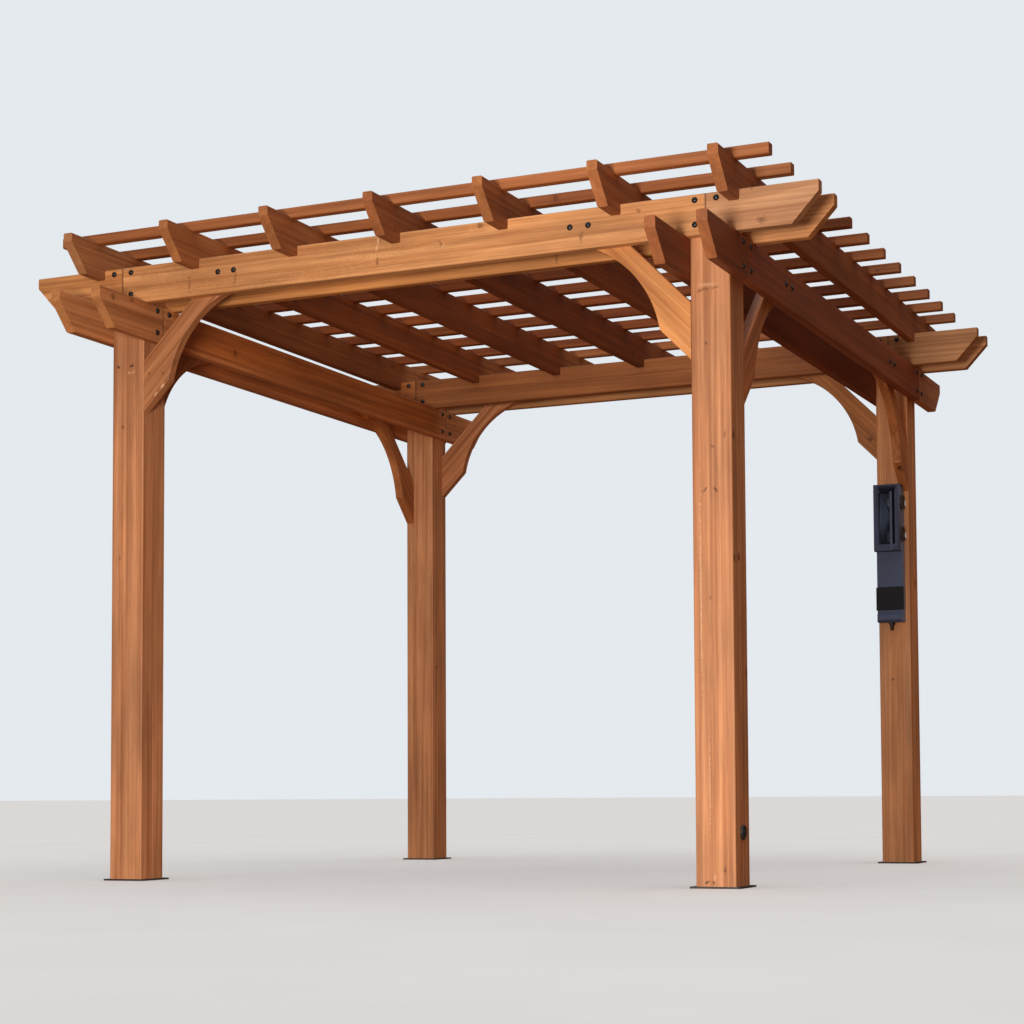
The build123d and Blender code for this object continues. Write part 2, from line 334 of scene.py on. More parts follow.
def stained_timber():
    """Builds the shared group that turns a board's frame into colour, roughness and relief."""
    tree = bpy.data.node_groups.new("stained_timber", "ShaderNodeTree")
    for label, kind in TIMBER_INPUTS.items():
        tree.interface.new_socket(label, in_out="INPUT", socket_type="NodeSocket" + kind)
    for label, kind in TIMBER_OUTPUTS.items():
        tree.interface.new_socket(label, in_out="OUTPUT", socket_type="NodeSocket" + kind)
    given = tree.nodes.new("NodeGroupInput").outputs
    seed = given["Seed"]
    point = grown_point(tree, given["Place"], seed)
    radius, angle, height = round_the_pith(tree, point)
    off_knot = knots(tree, radius, angle, height, seed, given["Knots"])
    heart = rise(tree, off_knot, 1.0, 0.72)
    rim = times(tree, rise(tree, off_knot, 1.30, 1.02), rise(tree, off_knot, 0.66, 0.95))
    rim = times(tree, rim, rise(tree, noise(tree, point, (70.0, 70.0, 50.0))[0], 0.38, 0.56))
    swirl = rise(tree, off_knot, 4.2, 0.8)
    line, tone, band = ring_lines(tree, radius, height, swirl, given["Ring"], seed)

    salted = move(tree, "ADD", given["Place"], seed)
    streak = noise(tree, salted, (70.0, 70.0, 0.9), detail=3.0)[0]
    smear = noise(tree, salted, (26.0, 26.0, 2.2), detail=4.0, roughness=0.6)[0]
    fibre = noise(tree, salted, (520.0, 520.0, 11.0), detail=3.0, roughness=0.6)[0]
    cloud = noise(tree, salted, (4.5, 4.5, 1.6), detail=3.0)[0]

    colour = given["Middle"]
    for texture, low, high, amount in ((band, 0.36, 0.68, PALE_BANDS), (tone, 0.80, 0.98, PALE_YEARS)):
        amount = times(tree, rise(tree, texture, low, high), amount)
        colour = mix(tree, amount, colour, given["Pale"])
    inky = times(tree, line, spread(tree, tone, *YEAR_LINES))
    colour = mix(tree, inky, colour, given["Dark"])
    sap = rise(tree, noise(tree, salted, (11.0, 11.0, 0.5), detail=1.0)[0], 0.56, 0.66)
    colour = mix(tree, times(tree, sap, given["Sapwood"]), colour, SAPWOOD)
    facing = parts_of(tree, given["Facing"])
    end = rise(tree, calc(tree, "ABSOLUTE", facing[2]), 0.50, 0.70)
    lengthwise = spread(tree, end, 1.0, STREAKS_ON_ENDS)
    for low, high, amount, stain in STREAKS:
        amount = times(tree, rise(tree, streak, low, high), times(tree, lengthwise, amount))
        colour = mix(tree, amount, colour, given[stain])
    for texture, low, high in ((smear, 0.86, 1.14), (cloud, 0.84, 1.16), (fibre, 0.90, 1.10)):
        colour = shaded(tree, colour, spread(tree, rise(tree, texture, 0.28, 0.72), low, high))
    knot = ((swirl, given["Dark"]), (heart, KNOT_HEART), (rim, KNOT_RIM))
    for (where, stain), amount in zip(knot, KNOT_LAYERS):
        colour = mix(tree, times(tree, where, amount), colour, stain)

    oblique = calc(tree, "ABSOLUTE", times(tree, facing[0], facing[1]))
    worn = times(tree, rise(tree, oblique, 0.10, 0.32), rise(tree, streak, 0.30, 0.75))
    colour = mix(tree, times(tree, worn, WORN_EDGES), colour, given["Pale"])
    colour = mix(tree, end, colour, mix(tree, 1.0, colour, given["Cut"], "MULTIPLY"))
    colour = mix(tree, times(tree, given["Joint"], BUTT_DARK), colour, KNOT_RIM)

    satin = plus(tree, spread(tree, fibre, 0.44, 0.66), times(tree, cloud, 0.06))
    satin = plus(tree, satin, times(tree, end, 0.15))
    relief = times(tree, fibre, 0.6)
    for texture, depth in ((line, -0.45), (streak, 0.5), (heart, 0.5)):
        relief = plus(tree, relief, times(tree, texture, depth))
    out = tree.nodes.new("NodeGroupOutput").inputs
    for label, value in (("Color", colour), ("Roughness", satin), ("Height", relief)):
        tree.links.new(value, out[label])
    return tree


recipe = stained_timber()
print("timber recipe has", len(recipe.nodes), "nodes")

# %% [markdown]
# ## A material for every board
# No two boards come from the same tree, so each gets a material of its own, all from the shared recipe. Its
# frame is set by a Mapping node: turned so that the third axis runs along the grain, and placed on the pith,
# a hand's breadth from the board's middle on a side that chance picks. A beam is three lengths butted over
# the posts, and a post is two planks glued face to face, so the pattern jumps there, and the butt joints get
# a dark line.

# %% Frame of one board
ALONG_X = Matrix.Rotation(math.pi / 2, 3, "Y")
ALONG_Y = Matrix.Rotation(-math.pi / 2, 3, "X")
ALONG_Z = Matrix.Identity(3)
PITH_NEAR = 0.045
PITH_FAR = 0.13
JUMP = (0.031, -0.022, 0.83)


def middle_of(name):
    """The middle of a solid's box."""
    low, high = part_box(name)
    return (Vector(low) + Vector(high)) / 2


def pith_beside(name, turn, chance):
    """A point on the pith: off the board's middle by a chance way, with nothing along the grain."""
    middle = middle_of(name)
    grain = turn @ Vector((0, 0, 1))
    way = chance.uniform(0, 2 * math.pi)
    aside = turn @ Vector((math.cos(way), math.sin(way), 0))
    return middle - grain * middle.dot(grain) + aside * chance.uniform(PITH_NEAR, PITH_FAR)


def jump_past(tree, place, value, limit):
    """Shifts the pattern where the value is past the limit, as in another plank."""
    past = calc(tree, "GREATER_THAN", value, limit)
    past = put(tree, "CombineXYZ", past, past, past).outputs[0]
    return move(tree, "ADD", place, move(tree, "MULTIPLY", past, JUMP))


print("the pith lies", PITH_NEAR * 1000, "to", PITH_FAR * 1000, "mm from a board's middle")

# %% A material and the solid that it goes on
def new_material(name):
    """An empty material, its nodes and its main shader."""
    material = bpy.data.materials.new(name)
    material.use_nodes = True
    return material, material.node_tree, material.node_tree.nodes["Principled BSDF"]


def relief_on(tree, shader, height, strength, depth):
    """Connects a height to a shader as shallow relief."""
    bump = put(tree, "Bump")
    fill(tree, bump, {"Strength": strength, "Distance": depth, "Height": height})
    feed(tree, shader.inputs["Normal"], bump.outputs["Normal"])


def dress(name, material):
    """Puts a material on a solid of the frame."""
    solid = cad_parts[name]
    if not solid.material_slots:
        solid.data.materials.append(material)
    for slot in solid.material_slots:
        slot.material = material
    dressed.append(name)


dressed = []
print(len(names), "solids to dress")

# %% [markdown]
# Chance gives every board its grain, but some marks are landmarks: a pair of knots under the beam, a long
# pale line, a chip where the arc of a brace broke out. They are painted one by one, each as a leaning
# ellipsoid in the wood with a ragged edge, most of them small, dark for knots and pale for bare wood. One
# broad faint brown mark is painted shade over the left of the front outer beam. Every group gives the board,
# the axis through the face, the face's place on it and how deep the paint goes. Each mark has its place
# along and up the face, its half width and half height in millimetres, its lean in degrees, its paint and
# how strong it is.

# %% Chosen marks
INK = (0.075, 0.024, 0.008, 1.0)
BROWN = (0.190, 0.066, 0.022, 1.0)
BARE = (0.80, 0.47, 0.26, 1.0)
SIDE = 0
FRONT = 1
MARKS = (
    ("left_front_post", FRONT, -1.24, 0.02, (
        (-1.214, 1.94, 13, 7, 20, BROWN, 0.7), (-1.214, 1.94, 7, 4, 20, INK, 0.8),
        (-1.153, 1.941, 14, 9, -25, BROWN, 0.7), (-1.153, 1.941, 7, 5, -25, INK, 0.9),
        (-1.165, 1.915, 10, 5, 35, BARE, 0.5), (-1.148, 1.915, 10, 5, -35, BARE, 0.5),
        (-1.193, 1.71, 7, 9, 0, INK, 0.7),
    )),
    ("right_front_post", FRONT, -1.24, 0.02, (
        (1.133, 1.99, 16, 6, -18, BROWN, 0.7), (1.155, 1.994, 14, 6, 22, BROWN, 0.7),
        (1.186, 1.995, 20, 5, -10, BROWN, 0.55), (1.16, 2.008, 40, 8, 0, BARE, 0.35),
        (1.154, 1.811, 8, 6, 15, INK, 0.6), (1.145, 1.32, 5, 16, 38, INK, 0.65),
        (1.182, 1.318, 6, 13, -30, INK, 0.8), (1.173, 1.463, 11, 5, 20, BROWN, 0.7),
        (1.216, 1.5, 6, 15, 12, BROWN, 0.65), (1.16, 0.958, 6, 12, 0, BROWN, 0.5),
        (1.127, 1, 4.2, 400, 0, BARE, 0.5), (1.152, 0.35, 3, 200, 0, BARE, 0.55),
        (1.14, 0.02, 14, 5, -25, INK, 0.75), (1.162, 0.018, 5, 8, 0, INK, 0.7),
        (1.202, 0.061, 6, 18, 0, BROWN, 0.8), (1.167, 0.037, 4, 14, 0, BARE, 0.6),
    )),
    ("right_front_post", SIDE, 1.24, 0.02, (
        (-1.222, 1.499, 12, 18, -12, INK, 0.85), (-1.174, 1.48, 6, 14, 0, INK, 0.5),
        (-1.225, 1.089, 13, 18, 0, INK, 0.85), (-1.181, 1.096, 14, 18, 10, INK, 0.85),
        (-1.211, 0.85, 4, 220, 0, BARE, 0.4),
    )),
    ("front_outer_cross_beam", FRONT, -1.278, 0.02, (
        # The first mark below, a broad faint brown patch, is painted shade over the left of the beam's
        # front.
        (-0.55, 2.25, 650, 90, 0, BROWN, 0.22), (-0.87, 2.215, 9, 45, 0, BROWN, 0.42),
        (-0.67, 2.215, 9, 34, 8, BROWN, 0.42), (-0.07, 2.286, 6, 20, -8, BARE, 0.6),
        (-0.062, 2.28, 5, 20, -8, BROWN, 0.45), (-0.076, 2.262, 6, 14, 14, BARE, 0.6),
        (-0.074, 2.212, 7, 18, 0, BROWN, 0.65), (0.182, 2.247, 6, 15, -30, BROWN, 0.55),
        (0.19, 2.24, 4, 10, 30, BARE, 0.5), (0.719, 2.212, 10, 24, 10, BROWN, 0.6),
        (0.929, 2.275, 12, 9, 0, BROWN, 0.6), (1.365, 2.194, 22, 16, 0, BROWN, 0.45),
        (1.365, 2.194, 12, 9, 0, BROWN, 0.65),
    )),
    ("front_inner_cross_beam", FRONT, -1.1, 0.02, ((0.547, 2.201, 7, 28, 0, BROWN, 0.65),)),
    ("left_front_cross_brace", FRONT, -1.24, 0.02, (
        (-1.014, 1.853, 6, 16, 40, BARE, 0.8), (-1.044, 1.824, 5, 12, 40, BARE, 0.75),
        (-1.075, 1.905, 7, 10, 0, BROWN, 0.7),
    )),
    ("right_back_side_brace", FRONT, 1.003, 0.04, ((1.228, 1.708, 15, 15, 0, INK, 0.95),)),
    ("right_back_side_brace", FRONT, 0.969, 0.03, ((1.219, 1.734, 14, 7, 0, BARE, 0.8),)),
    ("right_back_side_brace", FRONT, 0.947, 0.03, ((1.207, 1.748, 8, 7, 0, INK, 0.9),)),
    ("roof_slat_01", FRONT, -1.309, 0.02, ((0.682, 2.414, 12, 7, -30, INK, 0.7),)),
    ("right_back_post", FRONT, 1.1, 0.02, ((1.158, 0.8, 7, 8, 0, INK, 0.75),)),
)
marked = {group[0] for group in MARKS}
print(sum(len(group[4]) for group in MARKS), "marks on", len(marked), "boards")

# %% Stained timber for one board
PALE = (0.53, 0.210, 0.072)
MIDDLE = (0.42, 0.150, 0.045)
DARK = (0.250, 0.072, 0.017)
BUTT_LINE = 0.0016
BUTT_STAIN = 0.005
# Painted shade: the tint laid over the wood inside the bay and up under the slats.
PAINTED_SHADE_UNDER_ROOF = (0.72, 0.51, 0.26, 1.0)
WOOD_SHINE = 0.38
RELIEF_STRENGTH = 0.5
RELIEF_DEPTH = 0.0006
NO_TINT = (1.0, 1.0, 1.0)
# Painted light on chosen lengths of two beams: the front outer beam turns paler and pinker towards the right
# as a painted sheen, and one end length of the right outer side beam is lifted back out of its painted
# shade.
PAINTED_LIGHT_ON_LENGTHS = {
    "front_outer_cross_beam": ((1.08, 1.14, 1.23), (0.95, 1.03, 1.30)),
    "right_outer_side_beam": ((1.00, 1.00, 1.00), (1.80, 2.80, 3.90)),
}


def tinted(colour, tint):
    """A colour with a tint laid over it."""
    return tuple(c * t for c, t in zip(colour, tint)) + (1.0,)


def one_mark(tree, place, colour, ragged, middle, radii, turn, paint, strength):
    """Paints one leaning ellipsoid with a ragged edge."""
    near = put(tree, "Mapping", place, middle, turn, radii, vector_type="TEXTURE").outputs[0]
    near = plus(tree, put(tree, "VectorMath", near, operation="LENGTH").outputs["Value"], ragged)
    return mix(tree, times(tree, rise(tree, near, 1.1, 0.3), strength), colour, paint)


def paint_marks(tree, place, colour, name):
    """Paints the chosen marks of one board."""
    ragged = spread(tree, noise(tree, place, (120.0, 120.0, 120.0), detail=3.0)[0], -0.9, 0.9)
    for board, through, face, depth, rows in MARKS:
        if board != name:
            continue
        for along, up, wide, tall, lean, paint, strength in rows:
            middle = [along, along, up]
            radii = [wide / 1000, wide / 1000, tall / 1000]
            turn = [0.0, 0.0, 0.0]
            middle[through] = face
            radii[through] = depth
            turn[through] = math.radians(lean)
            colour = one_mark(tree, place, colour, ragged, middle, radii, turn, paint, strength)
    return colour


def other_boards(tree, along, colour, name, butts, chance):
    """Past each butt joint another board begins, a little paler or darker than the last; on two beams the
    lengths get painted light instead.
    """
    painted_light = PAINTED_LIGHT_ON_LENGTHS.get(name)
    for number, butt in enumerate(butts):
        value = chance.uniform(0.90, 1.10)
        change = tuple(value * chance.uniform(0.95, 1.05) for _ in range(3))
        change = (painted_light[number] if painted_light else change) + (1.0,)
        past = calc(tree, "GREATER_THAN", along, butt)
        colour = mix(tree, past, colour, mix(tree, 1.0, colour, change, "MULTIPLY"))
    return colour


def paint_shade_under_roof(tree, place, colour):
    """Paints shade inside the bay and up under the slats, where the colour is made deeper and redder."""
    parts = parts_of(tree, place)
    inside = rise(tree, parts[2], 1.98, 2.08)
    depth = calc(tree, "ABSOLUTE", parts[1])
    for part, outer, inner in ((parts[0], -1.40, -1.26), (parts[0], 1.30, 1.00), (depth, 1.17, 1.02)):
        inside = times(tree, inside, rise(tree, part, outer, inner))
    return mix(tree, inside, colour, mix(tree, 1.0, colour, PAINTED_SHADE_UNDER_ROOF, "MULTIPLY"))


def timber(name, turn, tint=NO_TINT, cut=NO_TINT, sapwood=0.0, ring=0.0058, knotty=1.0, butts=(), seam=None):
    """Gives one board its own stained timber. Butts and a seam are where another plank begins."""
    chance = random.Random(name)
    pith = pith_beside(name, turn, chance)
    material, tree, shader = new_material(name + "_timber")
    coords = put(tree, "TexCoord").outputs
    turned = tuple(turn.to_euler())
    place = put(tree, "Mapping", coords["Object"], tuple(pith), turned, vector_type="TEXTURE").outputs[0]
    facing = put(tree, "Mapping", coords["Normal"], None, turned, vector_type="TEXTURE").outputs[0]
    joint = 0.0
    along = parts_of(tree, place)[2]
    for butt in butts:
        off = calc(tree, "ABSOLUTE", calc(tree, "SUBTRACT", along, butt))
        joint = calc(tree, "MAXIMUM", joint, rise(tree, off, BUTT_STAIN, BUTT_LINE))
        place = jump_past(tree, place, along, butt)
    if seam is not None:
        place = jump_past(tree, place, parts_of(tree, coords["Object"])[1], seam)

    value = chance.uniform(0.93, 1.07)
    tint = [t * value * chance.uniform(0.98, 1.02) for t in tint]
    salt = tuple(chance.uniform(0, 40) for _ in range(3))
    group = put(tree, "Group")
    group.node_tree = recipe
    fill(tree, group, {
        "Place": place, "Facing": facing, "Seed": salt, "Pale": tinted(PALE, tint),
        "Middle": tinted(MIDDLE, tint), "Dark": tinted(DARK, tint), "Ring": ring * chance.uniform(0.8, 1.25),
        "Sapwood": sapwood, "Knots": knotty, "Joint": joint, "Cut": cut + (1.0,),
    })
    colour = other_boards(tree, along, group.outputs["Color"], name, butts, chance)
    # Painted shade over the wood under the roof.
    colour = paint_shade_under_roof(tree, coords["Object"], colour)
    if name in marked:
        colour = paint_marks(tree, coords["Object"], colour, name)
    fill(tree, shader, {"Base Color": colour, "Roughness": group.outputs["Roughness"],
                        "Specular IOR Level": WOOD_SHINE})
    relief_on(tree, shader, group.outputs["Height"], RELIEF_STRENGTH, RELIEF_DEPTH)
    dress(name, material)


print("stain goes from", PALE, "to", DARK)

# %% [markdown]
# ## Posts and beams
# The four posts are glued up from two planks, front and back, so the grain changes at the seam in their
# side faces. They take the stain a little pinker and paler than the beams. Every beam is three lengths that
# meet over the middles of the posts, and those butt joints are where the pattern jumps.

# %% Posts
SIDES = {"left": -1, "right": 1}
ROWS = {"front": -1, "back": 1}
LAYERS = {"outer": 1, "inner": -1}
CORNERS = [(side, row) for side in SIDES for row in ROWS]
POST_AT = middle_of("right_front_post").x
FRONT_TINT = (1.14, 1.26, 1.64)
# Painted light: the back posts are painted paler than the front ones, the right one most, against the
# fall-off of the key light and, on the right, the shadow of the front post.
BACK_POST_PAINTED_LIGHT = {"left_back_post": (1.22, 1.34, 1.70), "right_back_post": (1.38, 1.58, 1.90)}
SAPWOOD_SHARE = {"right_back_post": 0.5}
for side, row in CORNERS:
    post = f"{side}_{row}_post"
    timber(post, ALONG_Z, tint=BACK_POST_PAINTED_LIGHT.get(post, FRONT_TINT), sapwood=SAPWOOD_SHARE.get(post, 0.12),
           ring=0.0075, knotty=1.1, seam=middle_of(post).y)
print("post middles are", round(2 * POST_AT, 3), "m apart")

# %% Beams
BUTTS = (-POST_AT, POST_AT)
BEAM_TINT = {"front": (1.15, 1.25, 1.30), "back": (0.92, 0.98, 1.06)}
# The right side beams are darkened and reddened as painted shade, and their sawn ends are lifted partly back
# out of it; the left ones keep a near plain tint.
SIDE_TINT_AND_PAINTED_SHADE = {"left": (0.99, 1.00, 1.08), "right": (0.53, 0.33, 0.29)}
SIDE_CUT_AND_SHADE_LIFT = {"left": (1.05, 1.10, 1.05), "right": (1.55, 2.20, 2.40)}
for row in ROWS:
    for layer in LAYERS:
        timber(f"{row}_{layer}_cross_beam", ALONG_X, tint=BEAM_TINT[row], butts=BUTTS)
for side in SIDES:
    for layer in LAYERS:
        timber(f"{side}_{layer}_side_beam", ALONG_Y, tint=SIDE_TINT_AND_PAINTED_SHADE[side], cut=SIDE_CUT_AND_SHADE_LIFT[side], butts=BUTTS)
print(len(dressed), "solids dressed")

# %% [markdown]
# ## Rafters, slats and braces
# The rafters run from front to back and the slats across them. The braces are sawn from boards at 45
# degrees, so their grain climbs with them: the frame of each is turned by an eighth of a turn towards the
# beam it carries.

# %% Rafters and slats
rafters = [name for name in names if name.startswith("rafter_")]
slats = [name for name in names if name.startswith("roof_slat_")]
# The rafters and slats take a deeper, redder tint, partly their own tone and partly painted shade under the
# roof, the middle rafters most; the sawn ends of the rafters are kept paler.
RAFTER_TINT_AND_PAINTED_SHADE = (0.68, 0.56, 0.48)
RAFTER_CUT = (1.30, 1.50, 1.70)
SLAT_TINT_AND_PAINTED_SHADE = (0.76, 0.66, 0.60)
OTHER_RAFTER_TINT_AND_PAINTED_SHADE = {"rafter_1": (0.74, 0.74, 0.78), "rafter_3": (0.63, 0.51, 0.42), "rafter_4": (0.56, 0.43, 0.35)}
for rafter in rafters:
    timber(rafter, ALONG_Y, tint=OTHER_RAFTER_TINT_AND_PAINTED_SHADE.get(rafter, RAFTER_TINT_AND_PAINTED_SHADE), cut=RAFTER_CUT)
for slat in slats:
    timber(slat, ALONG_X, tint=SLAT_TINT_AND_PAINTED_SHADE, ring=0.0045, knotty=0.7)
print(len(rafters), "rafters and", len(slats), "slats")

# %% Braces
EIGHTH = math.pi / 4
BRACE_TINT = {"left": (0.95, 0.96, 1.12), "right": (1.02, 1.00, 0.88)}
# Painted light: the right front cross brace is painted paler than the other right braces.
BRACE_PAINTED_LIGHT = {"right_front_cross_brace": (1.36, 1.46, 1.30)}
SIDE_BRACE_TINT = (0.95, 0.86, 0.80)
for side, row in CORNERS:
    brace = f"{side}_{row}_cross_brace"
    turn = Matrix.Rotation(-SIDES[side] * EIGHTH, 3, "Y")
    timber(brace, turn, tint=BRACE_PAINTED_LIGHT.get(brace, BRACE_TINT[side]))
    turn = Matrix.Rotation(ROWS[row] * EIGHTH, 3, "X")
    timber(f"{side}_{row}_side_brace", turn, tint=SIDE_BRACE_TINT)
print(len(dressed), "solids dressed")

# %% [markdown]
# ## Coated metal and moulded plastic
# The box, the plates and the cap are dark, but no real coating is one even colour. Powder coat has a fine
# orange-peel skin, a faint cloudiness where it went on thicker, pale scuffs and a little dust that gathers
# low down. One recipe with a few amounts covers all of them, from the satin housing to the black lid. On the
# hood it also paints shade into the recess, and on the housing and hood it paints a paler light on the faces
# that look left or right.

# %% Coated finish
SCUFFED = (0.20, 0.20, 0.21, 1.0)
DUSTY = (0.23, 0.19, 0.14, 1.0)


def coated(name, colour, gloss, skin, cloudiness=0.12, dust=0.0, dust_below=0.03, metal=0.0, shine=0.5,
           inside=None, painted_side_light=None):
    """A coating. Skin is bumps in a metre; the recess mask darkens a recess with painted shade, and the side
    colour is painted light, paler, on faces that look left or right.
    """
    material, tree, shader = new_material(name)
    coords = put(tree, "TexCoord").outputs
    place = coords["Object"]
    cloud = noise(tree, place, (9.0, 9.0, 6.0), detail=4.0)[0]
    speck = noise(tree, place, (skin, skin, skin))[0]
    scuff = noise(tree, place, (60.0, 60.0, 14.0), detail=5.0, roughness=0.7)[0]
    shade = spread(tree, cloud, 1.0 - cloudiness, 1.0 + cloudiness)
    shade = times(tree, shade, spread(tree, speck, 0.88, 1.12))
    body = shaded(tree, colour + (1.0,), shade)
    body = mix(tree, times(tree, rise(tree, scuff, 0.66, 0.80), 0.25), body, SCUFFED)
    low = rise(tree, parts_of(tree, place)[2], dust_below, 0.0)
    low = times(tree, times(tree, low, dust), spread(tree, scuff, 0.3, 1.2))
    body = mix(tree, low, body, DUSTY)
    # Painted shade: a dark blue-grey laid over the walls of a recess.
    if inside:
        body = mix(tree, inside(tree, place), body, RECESS_PAINTED_SHADE)
    # Painted light: faces that look left or right take a paler colour.
    if painted_side_light:
        side_faces = rise(tree, calc(tree, "ABSOLUTE", parts_of(tree, coords["Normal"])[0]), 0.6, 0.9)
        body = mix(tree, side_faces, body, shaded(tree, painted_side_light + (1.0,), shade))
    satin = spread(tree, speck, gloss - 0.08, gloss + 0.08)
    for texture, amount in ((low, 0.3), (scuff, 0.10)):
        satin = plus(tree, satin, times(tree, texture, amount))
    fill(tree, shader, {"Base Color": body, "Roughness": satin, "Metallic": metal,
                        "Specular IOR Level": shine})
    relief_on(tree, shader, speck, 0.25, 0.0003)
    return material


# Painted shade for the inside of the hood's recess.
RECESS_PAINTED_SHADE = (0.034, 0.038, 0.060, 1.0)
RECESS_LOW = (1.1230, 1.0175, 1.3810)
RECESS_HIGH = (1.2110, 1.0990, 1.6400)


def recess_shade_mask(tree, place):
    """Painted shade mask: 1 between the walls of the hood's recess, deeper than its rim, and 0 elsewhere."""
    parts = parts_of(tree, place)
    within = rise(tree, parts[1], RECESS_LOW[1], RECESS_LOW[1] + 0.02)
    for part, low, high in zip(parts, RECESS_LOW, RECESS_HIGH):
        within = times(tree, within, calc(tree, "GREATER_THAN", part, low))
        within = times(tree, within, calc(tree, "LESS_THAN", part, high))
    return within


# Painted light: the paler colour of the box's faces that look left or right.
SLATE_PAINTED_SIDE_LIGHT = (0.175, 0.230, 0.350)
slate = coated("slate_housing", (0.066, 0.086, 0.160), gloss=0.46, skin=900.0, shine=0.3, painted_side_light=SLATE_PAINTED_SIDE_LIGHT)
hood_slate = coated("slate_hood", (0.062, 0.078, 0.135), gloss=0.46, skin=900.0, shine=0.15,
                    inside=recess_shade_mask, painted_side_light=SLATE_PAINTED_SIDE_LIGHT)
fin_slate = coated("slate_fin", (0.068, 0.086, 0.148), gloss=0.40, skin=900.0, shine=0.3)
black_lid = coated("black_lid", (0.010, 0.011, 0.014), gloss=0.52, skin=1200.0, shine=0.18)
black_steel = coated("black_steel", (0.008, 0.0085, 0.010), gloss=0.26, skin=1500.0)
plate_steel = coated("plate_steel", (0.010, 0.0105, 0.012), gloss=0.48, skin=700.0, dust=0.2,
                     dust_below=0.012)
black_nylon = coated("black_nylon", (0.020, 0.021, 0.023), gloss=0.50, skin=600.0)
COATS = {"power_box_body": slate, "power_box_hood": hood_slate, "power_box_fin": fin_slate,
         "power_box_side_sockets": black_nylon, "power_box_lid": black_lid, "power_box_gland": black_nylon,
         "post_cap": black_nylon}
for name, material in COATS.items():
    dress(name, material)
for side, row in CORNERS:
    dress(f"{side}_{row}_foot_plate", plate_steel)
print("dressed", len(dressed), "of", len(names), "- left bare:", sorted(set(names) - set(dressed)))

# %% [markdown]
# ## Bolts
# At every post four bolts go through each beam, two above two, astride the butt joint. Two more go into the
# top of each brace, from the outside only. All have a black domed head on a thin washer. One head is
# modelled from a cylinder, and its copies are turned, set in place and joined, one piece for each beam.

# %% Tools for modelling by hand
PARTS = {"VERT": "vertices", "EDGE": "edges", "FACE": "polygons"}


def mode(name):
    """Goes into edit mode or back to object mode."""
    bpy.ops.object.mode_set(mode=name)


def only(piece):
    """Selects one piece and nothing else."""
    bpy.ops.object.select_all(action="DESELECT")
    piece.select_set(True)
    bpy.context.view_layer.objects.active = piece


def settle(piece):
    """Moves a piece's place and turn into its mesh."""
    only(piece)
    bpy.ops.object.transform_apply(location=True, rotation=True, scale=True)


def pick(piece, kind, test):
    """In edit mode, selects the corners, edges or faces that pass a test."""
    bpy.ops.mesh.select_mode(type=kind)
    bpy.ops.mesh.select_all(action="DESELECT")
    mode("OBJECT")
    for part in getattr(piece.data, PARTS[kind]):
        part.select = test(part)
    mode("EDIT")


def smooth(piece, degrees):
    """Shades a piece smooth, but for its sharper edges."""
    only(piece)
    bpy.ops.object.shade_smooth_by_angle(angle=math.radians(degrees))


def cut(piece, tool):
    """Takes a tool's shape out of a piece."""
    only(piece)
    modifier = piece.modifiers.new("cut", "BOOLEAN")
    modifier.operation = "DIFFERENCE"
    modifier.object = tool
    bpy.ops.object.modifier_apply(modifier=modifier.name)
    bpy.data.objects.remove(tool)


print("tools for selecting, settling, smoothing and cutting")

# %% Tools that make and join pieces
def cylinder(sides, radius, height, middle=None, turn=(0, 0, 0)):
    """A cylinder with its place in its mesh. Without a middle it stands on z = 0."""
    bpy.ops.mesh.primitive_cylinder_add(vertices=sides, radius=radius, depth=height,
                                        location=middle or (0, 0, height / 2), rotation=turn)
    settle(bpy.context.active_object)
    return bpy.context.active_object


def block(size, middle):
    """A cube at its size and place, with both in its mesh."""
    bpy.ops.mesh.primitive_cube_add(size=1.0, location=middle)
    bpy.context.active_object.scale = size
    settle(bpy.context.active_object)
    return bpy.context.active_object


def twin(piece):
    """A copy of a piece, with a mesh of its own."""
    only(piece)
    bpy.ops.object.duplicate()
    return bpy.context.active_object


def joined(pieces, name):
    """Joins pieces into one."""
    only(pieces[0])
    for piece in pieces:
        piece.select_set(True)
    bpy.ops.object.join()
    bpy.context.active_object.name = name
    return bpy.context.active_object


def copies(master, name, places, outward):
    """Copies of a master that points up, turned outward and joined into one piece."""
    made = []
    for place in places:
        copy = twin(master)
        copy.rotation_euler = Vector(outward).to_track_quat("Z", "X").to_euler()
        copy.location = place
        settle(copy)
        made.append(copy)
    return joined(made, name)


def finish_piece(piece, material):
    """Gives a piece its material and the body that it rides on."""
    piece.data.materials.clear()
    piece.data.materials.append(material)
    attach(piece, "root")


print("tools for cylinders, blocks and joined copies")

# %% One bolt head
WASHER_RADIUS = 0.0105
WASHER_THICK = 0.0018
DOME_RADIUS = 0.0088
DOME_HEIGHT = 0.0052
DOME_STEPS = 5
DOME_ANGLE = math.radians(80)


def faces_up(face):
    """Whether a face looks up."""
    return face.normal.z > 0.9


def bolt_head():
    """A domed head on a washer, standing on z = 0 and pointing up."""
    head = cylinder(24, WASHER_RADIUS, WASHER_THICK)
    mode("EDIT")
    pick(head, "FACE", faces_up)
    bpy.ops.mesh.inset(thickness=WASHER_RADIUS - DOME_RADIUS)
    radius = 1.0
    for step in range(1, DOME_STEPS + 1):
        angle = step / DOME_STEPS * DOME_ANGLE
        risen = DOME_HEIGHT * (math.sin(angle) - math.sin(angle - DOME_ANGLE / DOME_STEPS))
        bpy.ops.mesh.extrude_region_move(TRANSFORM_OT_translate={"value": (0, 0, risen)})
        bpy.ops.transform.resize(value=(math.cos(angle) / radius, math.cos(angle) / radius, 1.0))
        radius = math.cos(angle)
    mode("OBJECT")
    smooth(head, 40)
    return head


master_bolt = bolt_head()
print("bolt head:", len(master_bolt.data.polygons), "faces,", round(WASHER_RADIUS * 2000), "mm wide")

